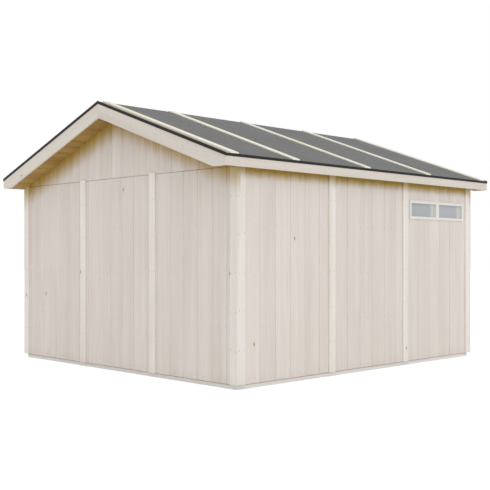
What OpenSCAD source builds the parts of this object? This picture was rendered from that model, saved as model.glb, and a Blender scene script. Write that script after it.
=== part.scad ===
// Wooden garage of prefabricated wall panels under a felted gable roof.
// X runs across the building, Y along the ridge and Z up. The front gable faces -Y
// and the right-hand long wall faces +X. The origin is on the ground, at the middle.

/* [Building] */
// Width over the faces of the corner boards
width = 3800; // [2800:10:5600]
// Length over the faces of the corner boards
length = 4064; // [3800:2:6400]
// Height of the gable wall panels' top edge above the ground
wall_top = 2095; // [2000:5:2600]

/* [Walls] */
// Thickness of the vertical cladding boards
cladding_t = 18; // [14:1:28]
// Depth of the wall frame behind the cladding
frame_d = 45; // [34:1:95]
// Width of a stud or rail in the wall frame
frame_w = 45; // [34:1:70]
// Joint left between two neighbouring panels
panel_gap = 2; // [1:0.5:6]
// Joint left between the boards beside a window and those above and below it
board_gap = 1; // [0.5:0.5:3]
// Joint left between a gable wall panel and the gable triangle above it
gable_joint = 4; // [2:0.5:10]
// Number of rails across each panel between its bottom and top plates
rail_count = 3; // [1:1:5]
// Height of the base beams under the walls
base_h = 45; // [30:1:120]

/* [Trim] */
// Width of the corner boards and of the battens over the panel seams
trim_w = 95; // [60:1:145]
// Thickness of the corner boards and seam battens
trim_t = 16; // [10:1:25]
// How far the gable seam battens reach above the gable wall panels
seam_lap = 15; // [8:1:40]

/* [Roof] */
// Pitch of both roof slopes in degrees
roof_pitch = 19.6; // [12:0.1:35]
// How far the roof reaches past the side corner boards
eaves_overhang = 94; // [60:1:300]
// How far the roof reaches past the gable corner boards
gable_overhang = 230; // [100:5:500]
// Thickness of the roof boards
deck_t = 18; // [15:1:28]
// Thickness of the roofing felt
felt_t = 4; // [3:0.5:8]
// Width of the rafters
rafter_w = 45; // [34:1:60]
// Depth of the rafters, square to the slope
rafter_h = 145; // [120:1:195]
// Depth of the level seat cut in a rafter's foot, where it meets the side cladding
seat_cut = 35; // [10:1:60]
// Rafter bays along each side wall panel
bays_per_panel = 2; // [1:1:4]
// Height of the level ties between the side walls
tie_h = 95; // [60:1:145]
// Thickness of the ties
tie_t = 45; // [30:1:60]

/* [Roof trim] */
// Thickness of the fascia boards along the eaves
fascia_t = 18; // [12:1:28]
// Height of the fascia boards' outer face
fascia_h = 90; // [60:1:180]
// Thickness of the barge boards on the gables
barge_t = 20; // [12:1:30]
// Width of the barge boards, square to the slope
barge_w = 145; // [95:1:220]
// Distance from the roof boards' underside down to the gable soffits' underside
soffit_drop = 130; // [90:1:150]
// Thickness of the gable soffit boards
soffit_t = 16; // [10:1:22]
// Width of the roof battens that hold the felt down
batten_w = 95; // [45:1:145]
// Thickness of the roof battens
batten_t = 12; // [8:1:30]
// Distance from one roof batten to the next, counted from the back gable
batten_pitch = 1140; // [400:10:2000]
// Felt left showing between an outermost batten and the roof's gable edge
batten_inset = 68; // [0:1:200]
// How far a middle batten's foot lies nearer the front gable than its head
batten_skew = 80; // [0:2:150]

/* [Windows] */
// Length of the window casing along the side wall
window_w = 1133; // [600:1:1200]
// Height of the window casing
window_h = 213; // [150:1:330]
// Height of the casing's bottom edge above the ground
window_sill = 1680; // [1500:5:1800]
// Width of the casing's outer rails
casing_w = 30; // [22:1:45]
// Width of the post between the two panes
mullion_w = 62; // [40:1:90]
// How far the casing stands out from the cladding
casing_proud = 12; // [6:1:25]
// How far the casing laps over the cladding all round the wall opening
casing_lap = 14; // [6:1:16]
// Thickness of the glass
glass_t = 4; // [3:0.5:6]
// Distance from the cladding's face in to the glass
glass_setback = 14; // [4:1:16]

/* [Hidden] */
half_w = width / 2;
half_l = length / 2;
// Outer and inner faces of the cladding, and inner face of the frame, on each pair of walls
side_out = half_w - trim_t;
side_in = side_out - cladding_t;
side_frame_in = side_in - frame_d;
gable_out = half_l - trim_t;
gable_in = gable_out - cladding_t;
gable_frame_in = gable_in - frame_d;
// The gable walls run right across and the side walls stand between them
gable_panel_w = 2 * side_out / 3;
side_panel_w = 2 * gable_frame_in / 3;
// Wall frame levels
stud_foot = base_h + frame_w;
stud_head = wall_top - frame_w;
// Roof planes, as heights above the ground
slope = tan(roof_pitch);
plumb = 1 / cos(roof_pitch);
ridge_under = wall_top + rafter_h * plumb - seat_cut + slope * side_in;
function deck_under(x) = ridge_under - slope * x;
function deck_top(x) = deck_under(x) + deck_t * plumb;
function felt_top(x) = deck_top(x) + felt_t * plumb;
// Outer faces of the fascia boards and barge boards
eave = half_w + eaves_overhang;
verge = half_l + gable_overhang;
fascia_foot = deck_under(eave) - fascia_h;
// The gable soffits stop where their undersides come down to the fascia boards' foot
soffit_end = min(side_out, eave - (soffit_drop - fascia_h) / slope);
// Rafters stand on both gable walls and at equal bays along the side walls
rafter_bay = side_panel_w / bays_per_panel;
rafter_inner = [for (i = [1 : 3 * bays_per_panel - 1]) i * rafter_bay - gable_frame_in];
gable_rafter = gable_in - rafter_w / 2;
rafter_places = concat([-gable_rafter], rafter_inner, [gable_rafter]);
// Battens on the roof, one at each gable edge and the rest counted from the back
batten_edge = verge - batten_inset - batten_w / 2;
batten_count = floor(2 * (batten_edge - batten_w) / batten_pitch);
batten_places = concat(
    [-batten_edge],
    [for (i = [1 : batten_count]) batten_edge - i * batten_pitch],
    [batten_edge]);
// Window opening in the cladding, centred on the back panel of each side wall
window_mid = side_panel_w;
hole_w = window_w - 2 * casing_lap;
hole_h = window_h - 2 * casing_lap;
hole_foot = window_sill + casing_lap;
hole_front = window_mid - hole_w / 2;
hole_back = window_mid + hole_w / 2;
pane_w = (window_w - 2 * casing_w - mullion_w) / 2;
pane_h = window_h - 2 * casing_w;
rail_step = (stud_head - stud_foot) / (rail_count + 1);
rail_levels = [for (i = [1 : rail_count]) stud_foot + i * rail_step];
window_rail_levels = concat(
    [for (z = rail_levels) if (z + frame_w < hole_foot - frame_w) z],
    [hole_foot - frame_w / 2, hole_foot + hole_h + frame_w / 2]);

pine = [0.85, 0.81, 0.77];
trim_wood = [0.88, 0.86, 0.84];
frame_wood = [0.86, 0.76, 0.6];
beam_wood = [0.8, 0.8, 0.78];
deck_wood = [0.75, 0.6, 0.4];
felt_grey = [0.5, 0.5, 0.51];
batten_wood = [0.94, 0.93, 0.87];
casing_white = [0.9, 0.89, 0.87];
pane_tint = [0.7, 0.72, 0.73];

// Box between two opposite corners
module block(low, high) {
    translate(low)
        cube(high - low);
}

// Profile drawn in X and Z, run along Y between two places
module along_y(points, from, to) {
    translate([0, to, 0])
        rotate([90, 0, 0])
            linear_extrude(height = to - from)
                polygon(points);
}

module flip_x() {
    mirror([1, 0, 0])
        children();
}

module flip_y() {
    mirror([0, 1, 0])
        children();
}

// ---- Base beams: the gable pair runs right across, the side pair fits between them
module gable_base_beams() {
    color(beam_wood)
        for (y = [-gable_in, gable_frame_in])
            block([-side_in, y, 0], [side_in, y + frame_d, base_h]);
}

module side_base_beams() {
    color(beam_wood)
        for (x = [-side_in, side_frame_in])
            block([x, -gable_frame_in, 0], [x + frame_d, gable_frame_in, base_h]);
}

// ---- Gable wall panels: column is -1, 0 or 1 across the wall
module gable_panel(column) {
    left = (column - 0.5) * gable_panel_w + (column > -1 ? panel_gap / 2 : 0);
    right = (column + 0.5) * gable_panel_w - (column < 1 ? panel_gap / 2 : 0);
    color(pine)
        block([left, -gable_out, base_h], [right, -gable_in, wall_top]);
}

module front_panel_left() {
    gable_panel(-1);
}

module front_panel_middle() {
    gable_panel(0);
}

module front_panel_right() {
    gable_panel(1);
}

module back_panel_left() {
    flip_y()
        gable_panel(-1);
}

module back_panel_middle() {
    flip_y()
        gable_panel(0);
}

module back_panel_right() {
    flip_y()
        gable_panel(1);
}

// ---- Side wall panels: they reach up to the roof boards, and the back one has the window
module side_cladding(front, back, foot) {
    color(pine)
        along_y([
            [side_in, foot],
            [side_out, foot],
            [side_out, deck_under(side_out)],
            [side_in, deck_under(side_in)]
        ], front, back);
}

module right_panel_front() {
    side_cladding(-gable_frame_in, -(side_panel_w + panel_gap) / 2, base_h);
}

module right_panel_middle() {
    reach = (side_panel_w - panel_gap) / 2;
    side_cladding(-reach, reach, base_h);
}

// The boards beside the window run full height, and those below and above it are cut
module right_panel_back() {
    side_cladding((side_panel_w + panel_gap) / 2, hole_front - board_gap, base_h);
    side_cladding(hole_back + board_gap, gable_frame_in, base_h);
    side_cladding(hole_front, hole_back, hole_foot + hole_h);
    color(pine)
        block([side_in, hole_front, base_h], [side_out, hole_back, hole_foot]);
}

module left_panel_front() {
    flip_x()
        right_panel_front();
}

module left_panel_middle() {
    flip_x()
        right_panel_middle();
}

module left_panel_back() {
    flip_x()
        right_panel_back();
}

// ---- Gable triangles: each is two halves that meet under the ridge
module front_gable_right() {
    foot = wall_top + gable_joint;
    seam = panel_gap / 2;
    color(pine)
        along_y([
            [seam, foot],
            [side_out, foot],
            [side_out, deck_under(side_out)],
            [seam, deck_under(seam)]
        ], -gable_out, -gable_in);
}

module front_gable_left() {
    flip_x()
        front_gable_right();
}

module back_gable_right() {
    flip_y()
        front_gable_right();
}

module back_gable_left() {
    flip_y()
        front_gable_left();
}

// ---- Corner boards and seam battens
module gable_corner_board() {
    inner = half_w - trim_w;
    along_y([
        [inner, base_h],
        [half_w, base_h],
        [half_w, deck_under(half_w)],
        [inner, deck_under(inner)]
    ], -half_l, -gable_out);
}

module gable_seam_batten() {
    seam = gable_panel_w / 2;
    block(
        [seam - trim_w / 2, -half_l, base_h],
        [seam + trim_w / 2, -gable_out, wall_top + seam_lap]);
}

module front_trim_boards() {
    color(trim_wood) {
        gable_corner_board();
        flip_x()
            gable_corner_board();
        gable_seam_batten();
        flip_x()
            gable_seam_batten();
    }
}

module back_trim_boards() {
    flip_y()
        front_trim_boards();
}

module side_board(front, back) {
    along_y([
        [side_out, base_h],
        [half_w, base_h],
        [half_w, deck_under(half_w)],
        [side_out, deck_under(side_out)]
    ], front, back);
}

module right_trim_boards() {
    seam = side_panel_w / 2;
    color(trim_wood) {
        side_board(-gable_out, trim_w - gable_out);
        side_board(-seam - trim_w / 2, trim_w / 2 - seam);
        side_board(seam - trim_w / 2, seam + trim_w / 2);
        side_board(gable_out - trim_w, gable_out);
    }
}

module left_trim_boards() {
    flip_x()
        right_trim_boards();
}

// ---- Wall frames: each panel has an edge stud at both ends, and rails between them
module gable_wall_studs() {
    color(frame_wood)
        for (side = [-1, 1], column = [-1 : 1], edge = [-1, 1]) {
            outermost = column == edge;
            middle = column * gable_panel_w
                + edge * (gable_panel_w / 2 - frame_w / 2 - (outermost ? 0 : panel_gap / 2));
            y = side * (gable_in + gable_frame_in) / 2;
            block(
                [middle - frame_w / 2, y - frame_d / 2, stud_foot],
                [middle + frame_w / 2, y + frame_d / 2, stud_head]);
        }
}

module side_wall_studs() {
    color(frame_wood)
        for (side = [-1, 1], row = [-1 : 1], edge = [-1, 1]) {
            outermost = row == edge;
            middle = row * side_panel_w
                + edge * (side_panel_w / 2 - frame_w / 2 - (outermost ? 0 : panel_gap / 2));
            x = side * (side_in + side_frame_in) / 2;
            block(
                [x - frame_d / 2, middle - frame_w / 2, stud_foot],
                [x + frame_d / 2, middle + frame_w / 2, stud_head]);
        }
}

module gable_wall_rails() {
    y_mid = (gable_in + gable_frame_in) / 2;
    reach = gable_panel_w / 2 - frame_w - panel_gap / 2;
    color(frame_wood)
        for (side = [-1, 1]) {
            y = side * y_mid;
            for (z = [base_h, stud_head])
                block([-side_out, y - frame_d / 2, z], [side_out, y + frame_d / 2, z + frame_w]);
            for (column = [-1 : 1], z = rail_levels) {
                left = column * gable_panel_w - reach - (column == -1 ? panel_gap / 2 : 0);
                right = column * gable_panel_w + reach + (column == 1 ? panel_gap / 2 : 0);
                block(
                    [left, y - frame_d / 2, z - frame_w / 2],
                    [right, y + frame_d / 2, z + frame_w / 2]);
            }
        }
}

module side_wall_rails() {
    x_mid = (side_in + side_frame_in) / 2;
    reach = side_panel_w / 2 - frame_w - panel_gap / 2;
    color(frame_wood)
        for (side = [-1, 1]) {
            x = side * x_mid;
            for (z = [base_h, stud_head])
                block(
                    [x - frame_d / 2, -gable_frame_in, z],
                    [x + frame_d / 2, gable_frame_in, z + frame_w]);
            for (row = [-1 : 1], z = (row == 1 ? window_rail_levels : rail_levels)) {
                front = row * side_panel_w - reach - (row == -1 ? panel_gap / 2 : 0);
                back = row * side_panel_w + reach + (row == 1 ? panel_gap / 2 : 0);
                block(
                    [x - frame_d / 2, front, z - frame_w / 2],
                    [x + frame_d / 2, back, z + frame_w / 2]);
            }
        }
}

// ---- Roof frame: rafters stand on the wall frames' top plates and meet at the ridge
module rafters_right() {
    color(frame_wood)
        for (y = rafter_places)
            intersection() {
                along_y([
                    [0, ridge_under],
                    [side_in, deck_under(side_in)],
                    [side_in, deck_under(side_in) - rafter_h * plumb],
                    [0, ridge_under - rafter_h * plumb]
                ], y - rafter_w / 2, y + rafter_w / 2);
                block([0, -half_l, wall_top], [half_w, half_l, ridge_under]);
            }
}

module rafters_left() {
    flip_x()
        rafters_right();
}

module roof_ties() {
    color(frame_wood)
        for (y = rafter_inner)
            intersection() {
                along_y([
                    [-side_in, wall_top],
                    [side_in, wall_top],
                    [side_in, deck_under(side_in)],
                    [0, ridge_under],
                    [-side_in, deck_under(side_in)]
                ], y + rafter_w / 2, y + rafter_w / 2 + tie_t);
                block([-side_in, -half_l, wall_top], [side_in, half_l, wall_top + tie_h]);
            }
}

// ---- Roof boards and felt
module roof_deck_right() {
    color(deck_wood)
        along_y([
            [0, deck_under(0)],
            [eave, deck_under(eave)],
            [eave, deck_top(eave)],
            [0, deck_top(0)]
        ], -verge, verge);
}

module roof_deck_left() {
    flip_x()
        roof_deck_right();
}

module roof_felt_right() {
    lip = eave + felt_t;
    color(felt_grey) {
        along_y([
            [0, deck_top(0)],
            [eave, deck_top(eave)],
            [eave, deck_under(eave)],
            [lip, deck_under(eave)],
            [lip, felt_top(lip)],
            [0, felt_top(0)]
        ], -verge, verge);
        for (from = [-verge - felt_t, verge])
            along_y([
                [0, deck_under(0)],
                [eave, deck_under(eave)],
                [lip, deck_under(eave)],
                [lip, felt_top(lip)],
                [0, felt_top(0)]
            ], from, from + felt_t);
    }
}

module roof_felt_left() {
    flip_x()
        roof_felt_right();
}

module roof_battens_right() {
    color(batten_wood)
        for (y = batten_places) {
            lean = abs(y) < batten_edge ? batten_skew / 2 : 0;
            reach = batten_w / 2;
            intersection() {
                along_y([
                    [0, felt_top(0)],
                    [eave, felt_top(eave)],
                    [eave, felt_top(eave) + batten_t * plumb],
                    [0, felt_top(0) + batten_t * plumb]
                ], y - reach - lean, y + reach + lean);
                linear_extrude(height = 2 * ridge_under)
                    polygon([
                        [0, y + lean - reach],
                        [eave, y - lean - reach],
                        [eave, y - lean + reach],
                        [0, y + lean + reach]
                    ]);
            }
        }
}

module roof_battens_left() {
    flip_x()
        roof_battens_right();
}

// ---- Fascia boards along the eaves, between the barge boards
module right_fascia() {
    inner = eave - fascia_t;
    color(trim_wood)
        along_y([
            [inner, fascia_foot],
            [eave, fascia_foot],
            [eave, deck_under(eave)],
            [inner, deck_under(inner)]
        ], barge_t - verge, verge - barge_t);
}

module left_fascia() {
    flip_x()
        right_fascia();
}

// ---- Barge boards: cut level at the foot, in line with the fascia boards' bottom edge
module barge_board() {
    joint = panel_gap / 2;
    intersection() {
        along_y([
            [joint, deck_under(joint)],
            [eave, deck_under(eave)],
            [eave, deck_under(eave) - barge_w * plumb],
            [joint, deck_under(joint) - barge_w * plumb]
        ], -verge, barge_t - verge);
        block([0, -verge, fascia_foot], [eave, 0, ridge_under]);
    }
}

module front_barge_boards() {
    color(trim_wood) {
        barge_board();
        flip_x()
            barge_board();
    }
}

module back_barge_boards() {
    flip_y()
        front_barge_boards();
}

// ---- Gable soffits: boards between the barge boards and the wall, notched at the corners
module gable_soffit() {
    joint = panel_gap / 2;
    difference() {
        along_y([
            [joint, deck_under(joint) - soffit_drop],
            [soffit_end, deck_under(soffit_end) - soffit_drop],
            [soffit_end, deck_under(soffit_end) - soffit_drop + soffit_t * plumb],
            [joint, deck_under(joint) - soffit_drop + soffit_t * plumb]
        ], barge_t - verge, -gable_out);
        block([half_w - trim_w, -half_l, fascia_foot - trim_w], [half_w, 0, ridge_under]);
    }
}

module gable_soffit_boards() {
    color(deck_wood) {
        gable_soffit();
        flip_x()
            gable_soffit();
        flip_y() {
            gable_soffit();
            flip_x()
                gable_soffit();
        }
    }
}

// ---- Windows: each rail and stile has a casing outside and a lining through the wall
module window_rail(casing_foot, lining_foot) {
    block(
        [side_out, window_mid - window_w / 2, casing_foot],
        [side_out + casing_proud, window_mid + window_w / 2, casing_foot + casing_w]);
    block(
        [side_frame_in, hole_front, lining_foot],
        [side_out, hole_back, lining_foot + casing_w - casing_lap]);
}

module window_stile(casing_front, casing_back, lining_front, lining_back) {
    foot = window_sill + casing_w;
    block([side_out, casing_front, foot], [side_out + casing_proud, casing_back, foot + pane_h]);
    block([side_frame_in, lining_front, foot], [side_out, lining_back, foot + pane_h]);
}

module right_window_rails() {
    head = window_sill + window_h - casing_w;
    color(casing_white) {
        window_rail(window_sill, hole_foot);
        window_rail(head, head);
    }
}

module right_window_stiles() {
    front = window_mid - window_w / 2;
    back = window_mid + window_w / 2;
    post_front = window_mid - mullion_w / 2;
    post_back = window_mid + mullion_w / 2;
    color(casing_white) {
        window_stile(front, front + casing_w, hole_front, front + casing_w);
        window_stile(post_front, post_back, post_front, post_back);
        window_stile(back - casing_w, back, back - casing_w, hole_back);
    }
}

module left_window_rails() {
    flip_x()
        right_window_rails();
}

module left_window_stiles() {
    flip_x()
        right_window_stiles();
}

module window_glass() {
    face = side_out - glass_setback;
    foot = window_sill + casing_w;
    color(pane_tint)
        for (x = [glass_t - face, face], front = [-mullion_w / 2 - pane_w, mullion_w / 2])
            block(
                [x - glass_t, window_mid + front, foot],
                [x, window_mid + front + pane_w, foot + pane_h]);
}

gable_base_beams();
side_base_beams();
front_panel_left();
front_panel_middle();
front_panel_right();
back_panel_left();
back_panel_middle();
back_panel_right();
left_panel_front();
left_panel_middle();
left_panel_back();
right_panel_front();
right_panel_middle();
right_panel_back();
front_gable_left();
front_gable_right();
back_gable_left();
back_gable_right();
front_trim_boards();
back_trim_boards();
left_trim_boards();
right_trim_boards();
gable_wall_studs();
side_wall_studs();
gable_wall_rails();
side_wall_rails();
rafters_left();
rafters_right();
roof_ties();
roof_deck_left();
roof_deck_right();
roof_felt_left();
roof_felt_right();
roof_battens_left();
roof_battens_right();
left_fascia();
right_fascia();
front_barge_boards();
back_barge_boards();
gable_soffit_boards();
left_window_rails();
right_window_rails();
left_window_stiles();
right_window_stiles();
window_glass();
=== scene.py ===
# %% [markdown]
# # A wooden garage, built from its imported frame
# The garage is made of prefabricated wall panels under a felted gable roof. The
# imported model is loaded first, and it is never moved: it says where every board,
# beam and pane goes. Everything below is in metres. X runs across the garage, Y along
# the ridge and Z up, and the front gable faces -Y.

# %% Load the frame
import math
import bpy
import bmesh
from mathutils import Matrix, Vector


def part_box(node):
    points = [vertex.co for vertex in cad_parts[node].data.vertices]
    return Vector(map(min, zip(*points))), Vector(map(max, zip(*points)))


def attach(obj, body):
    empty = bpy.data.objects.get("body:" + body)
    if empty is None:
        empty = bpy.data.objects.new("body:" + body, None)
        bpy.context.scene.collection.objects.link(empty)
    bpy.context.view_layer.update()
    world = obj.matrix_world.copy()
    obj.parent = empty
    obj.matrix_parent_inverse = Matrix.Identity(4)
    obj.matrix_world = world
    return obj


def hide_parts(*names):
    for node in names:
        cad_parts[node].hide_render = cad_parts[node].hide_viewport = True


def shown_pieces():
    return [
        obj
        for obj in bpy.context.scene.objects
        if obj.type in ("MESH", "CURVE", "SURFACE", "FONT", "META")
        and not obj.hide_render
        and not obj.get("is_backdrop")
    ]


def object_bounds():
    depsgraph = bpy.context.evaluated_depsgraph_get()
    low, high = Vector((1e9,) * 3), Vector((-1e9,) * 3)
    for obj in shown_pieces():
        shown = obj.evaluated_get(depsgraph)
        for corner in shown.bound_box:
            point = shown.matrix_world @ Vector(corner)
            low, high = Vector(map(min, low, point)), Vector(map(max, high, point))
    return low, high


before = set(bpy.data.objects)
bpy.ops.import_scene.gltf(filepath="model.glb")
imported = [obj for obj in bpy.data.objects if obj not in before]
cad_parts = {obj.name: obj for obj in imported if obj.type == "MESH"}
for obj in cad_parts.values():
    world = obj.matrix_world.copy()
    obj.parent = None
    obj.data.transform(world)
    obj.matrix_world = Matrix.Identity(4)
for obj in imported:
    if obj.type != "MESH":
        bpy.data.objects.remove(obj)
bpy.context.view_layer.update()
scene = bpy.context.scene

# %% [markdown]
# ## Sizes read from the frame
# A maker marks out from the timber that is already standing, so the faces of the walls,
# the ends of the roof and the foot of the fascia are read from the frame's own boxes.
# Only what a box can't tell is written down: the pitch and a few board widths.

# %% Faces and levels
PITCH = math.radians(19.6)
SLOPE, PLUMB = math.tan(PITCH), 1 / math.cos(PITCH)
TRIM_WIDTH, BARGE_WIDTH = 0.095, 0.145
FELT, JOINT = 0.004, 0.001

trim_low, trim_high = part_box("front_trim_boards")
half_width, half_length = trim_high.x, -trim_low.y
side_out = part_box("right_panel_middle")[1].x
gable_out = -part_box("front_panel_middle")[0].y
base_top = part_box("front_panel_middle")[0].z
deck_low, deck_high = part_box("roof_deck_right")
eave, verge = deck_high.x, deck_high.y
ridge_under = deck_low.z + SLOPE * eave
DECK = (deck_high.z - ridge_under) / PLUMB
fascia_low, fascia_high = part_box("right_fascia")
barge_in = -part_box("front_barge_boards")[1].y


def deck_under(x):
    return ridge_under - SLOPE * x


def deck_top(x):
    return deck_under(x) + DECK * PLUMB


def felt_top(x):
    return deck_top(x) + FELT * PLUMB


print("wall faces at x", round(side_out, 3), "and y", round(gable_out, 3))
print("ridge", round(ridge_under, 3), "eave", round(eave, 3), "roof boards", round(DECK, 4))

# %% [markdown]
# ## Building node trees
# Both the board trees and the finishes are trees of nodes. A few small helpers keep them
# short: one adds a node and fills or links its inputs, and the others add the nodes that
# nearly every tree here needs, such as arithmetic, noise and a mix of two colours.

# %% Node helpers
def add(tree, kind, inputs=None, **settings):
    made = tree.nodes.new(kind)
    for name, value in settings.items():
        setattr(made, name, value)
    for key, value in (inputs or {}).items():
        socket = made.inputs[key]
        if isinstance(value, bpy.types.NodeSocket):
            tree.links.new(value, socket)
        else:
            socket.default_value = value
    return made


def calc(tree, operation, *values):
    return add(tree, "ShaderNodeMath", dict(enumerate(values)), operation=operation).outputs[0]


def times(tree, one, other):
    return calc(tree, "MULTIPLY", one, other)


def less(tree, one, other):
    return calc(tree, "SUBTRACT", one, other)


def sway(tree, pattern, amount, base):
    """Adds a pattern to base, so that the pattern's middle value changes nothing."""
    return calc(tree, "MULTIPLY_ADD", less(tree, pattern, 0.5), amount, base)


def vector(tree, x, y, z):
    return add(tree, "ShaderNodeCombineXYZ", {0: x, 1: y, 2: z}).outputs[0]


def split(tree, value):
    return add(tree, "ShaderNodeSeparateXYZ", {0: value}).outputs


def noise(tree, place, scale, detail, roughness=0.5):
    return add(tree, "ShaderNodeTexNoise", {
        "Vector": place, "Scale": scale, "Detail": detail, "Roughness": roughness}).outputs["Fac"]


def mix(tree, factor, one, other, blend="MIX"):
    return add(tree, "ShaderNodeMix", {"Factor": factor, 6: one, 7: other}, data_type="RGBA",
               blend_type=blend).outputs[2]


def ramp(tree, value, start, end, first=1.0, last=0.0, kind="SMOOTHSTEP"):
    """Goes from first to last while the value goes from start to end."""
    return add(tree, "ShaderNodeMapRange", {
        "Value": value, "From Min": start, "From Max": end, "To Min": first, "To Max": last},
        interpolation_type=kind).outputs[0]


def new_tree(name, kind, inputs, outputs):
    tree = bpy.data.node_groups.new(name, kind)
    for socket, sort in outputs:
        tree.interface.new_socket(name=socket, in_out="OUTPUT", socket_type="NodeSocket" + sort)
    for socket, sort, value in inputs:
        made = tree.interface.new_socket(
            name=socket, in_out="INPUT", socket_type="NodeSocket" + sort)
        if value is not None:
            made.default_value = value
    given = tree.nodes.new("NodeGroupInput").outputs
    return tree, given, tree.nodes.new("NodeGroupOutput").inputs


print("node helpers ready")

# %% [markdown]
# ## Sawn wood
# The whole garage is planed softwood left to grey: pale and streaky, with long soft
# bands, fine lines along the grain and a dark knot here and there. Each timber carries
# its own grain coordinates, metres along, across and through the board, and a board
# number, so that the grain runs the right way and breaks at every joint. One shader
# group turns those into a colour and a height, and every wood finish below uses it.

# %% Wood grain group
def wood_grain_group():
    tree, given, out = new_tree("Wood grain", "ShaderNodeTree", [
        ("Along Grain", "Vector", None), ("Board", "Float", 0.0),
        ("Pale", "Color", (0.7, 0.64, 0.57, 1)), ("Streak", "Color", (0.6, 0.52, 0.44, 1)),
        ("Knot", "Color", (0.1, 0.06, 0.04, 1)), ("Figure", "Float", 0.3),
        ("Board Change", "Float", 0.08), ("Knots", "Float", 0.1)],
        [("Color", "Color"), ("Height", "Float"), ("Roughness", "Float")])
    shift = times(tree, given["Board"], 57.0)
    shifts = vector(tree, shift, times(tree, shift, 0.37), shift)
    moved = add(tree, "ShaderNodeVectorMath", {0: given["Along Grain"], 1: shifts},
                operation="ADD").outputs[0]

    def streaks(stretch, detail, roughness):
        spot = add(tree, "ShaderNodeVectorMath", {0: moved, 1: stretch}, operation="MULTIPLY")
        return noise(tree, spot.outputs[0], 1.0, detail, roughness)

    bands = streaks((0.45, 11.0, 11.0), 3.0, 0.55)
    lines = streaks((1.6, 95.0, 95.0), 3.0, 0.6)
    fibres = streaks((9.0, 520.0, 520.0), 2.0, 0.6)
    blotch = streaks((1.1, 2.6, 2.6), 2.0, 0.5)
    swirl = streaks((0.8, 4.0, 4.0), 1.0, 0.5)
    along, across = split(tree, moved)[:2]
    rings = calc(tree, "MULTIPLY_ADD", swirl, 60.0, times(tree, across, 190.0))
    rings = calc(tree, "SINE", rings)
    # Knots sit in the cells of a stretched pattern, and only a few cells hold one
    cell = add(tree, "ShaderNodeTexVoronoi", {
        "Vector": vector(tree, times(tree, along, 3.4), times(tree, across, 9.0), 0.0),
        "Scale": 1.0, "Randomness": 0.9}, voronoi_dimensions="2D").outputs
    chosen = calc(tree, "LESS_THAN", split(tree, cell["Color"])[0], given["Knots"])
    knot = times(tree, ramp(tree, cell["Distance"], 0.03, 0.085), chosen)
    halo = times(tree, ramp(tree, cell["Distance"], 0.05, 0.3, 0.35), chosen)

    tone = sway(tree, bands, 1.5, 0.42)
    tone = sway(tree, lines, 0.8, tone)
    tone = sway(tree, blotch, 0.7, tone)
    tone = calc(tree, "MULTIPLY_ADD", rings, 0.07, tone)
    tone = sway(tree, fibres, 0.35, tone)
    tone = times(tree, calc(tree, "ADD", tone, halo), given["Figure"])
    grain = mix(tree, tone, given["Pale"], given["Streak"])
    level = sway(tree, given["Board"], given["Board Change"], 1.0)
    toned = add(tree, "ShaderNodeVectorMath", {0: grain, 3: level}, operation="SCALE").outputs[0]
    height = calc(tree, "MULTIPLY_ADD", lines, 0.6, times(tree, fibres, 0.4))
    height = less(tree, height, times(tree, knot, 0.3))
    tree.links.new(mix(tree, times(tree, knot, 0.85), toned, given["Knot"]), out["Color"])
    tree.links.new(height, out["Height"])
    tree.links.new(calc(tree, "MULTIPLY_ADD", lines, 0.2, 0.62), out["Roughness"])
    return tree


wood_grain = wood_grain_group()
print("wood grain group:", len(wood_grain.nodes), "nodes")

# %% [markdown]
# ## Eave shade and splash
# Close under the roof the wood is painted with shade: a warm yellow-brown darkening that
# stands in for the shade and bounce light under the overhangs. Just above the ground, rain
# splashes a little grey up the boards. Both effects depend only on where the wood is: how
# far below the roof, and how high. The painted shade reaches further down under the wide gable
# overhang than under the narrow eaves.

# %% Eave shade and splash group
def roof_over(tree, given, x):
    return less(tree, given["Ridge"], times(tree, calc(tree, "ABSOLUTE", x), given["Slope"]))


def eave_shade_and_splash_group():
    tree, given, out = new_tree("Eave shade and splash", "ShaderNodeTree", [
        ("Position", "Vector", None), ("Ridge", "Float", ridge_under),
        ("Slope", "Float", SLOPE), ("Start", "Float", 0.13), ("Side Depth", "Float", 0.115),
        ("Gable Depth", "Float", 0.27), ("Gable Face", "Float", gable_out - 0.03),
        ("Splash Height", "Float", 0.16)],
        [("Eave Shade", "Float"), ("Splash", "Float")])
    x, y, z = split(tree, given["Position"])
    spot = vector(tree, times(tree, x, 14.0), times(tree, y, 14.0), times(tree, z, 1.2))
    ragged = noise(tree, spot, 1.0, 2.0)
    # Painted shade: the eave shade mask is strongest right under the roof and fades down the
    # wall, further down on the gables.
    gable = calc(tree, "GREATER_THAN", calc(tree, "ABSOLUTE", y), given["Gable Face"])
    wider = less(tree, given["Gable Depth"], given["Side Depth"])
    depth = calc(tree, "MULTIPLY_ADD", gable, wider, given["Side Depth"])
    below = less(tree, roof_over(tree, given, x), z)
    below = calc(tree, "DIVIDE", less(tree, below, given["Start"]), depth)
    tree.links.new(ramp(tree, sway(tree, ragged, 0.5, below), 0.0, 1.0), out["Eave Shade"])
    tree.links.new(ramp(tree, sway(tree, ragged, -0.12, z), 0.0, given["Splash Height"]),
                   out["Splash"])
    return tree


eave_shade_and_splash = eave_shade_and_splash_group()
print("weather group:", len(eave_shade_and_splash.nodes), "nodes")

# %% [markdown]
# ## Wood finishes
# The cladding, the cover boards, the roof battens, the raw roof boards and the frame
# timber are the same wood at different ages, so one function makes them all. A finish
# says its two wood colours, how strong its figure is, how many knots it has, and how
# much painted shade it takes close under the roof. Colours are written as they look, and turned
# linear here.

# %% Wood finish
def linear(red, green, blue):
    def one(value):
        value /= 255
        return value / 12.92 if value <= 0.04045 else ((value + 0.055) / 1.055) ** 2.4
    return one(red), one(green), one(blue), 1.0


def new_material(name):
    material = bpy.data.materials.new(name)
    material.use_nodes = True
    tree = material.node_tree
    return material, tree, tree.nodes["Principled BSDF"]


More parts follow.
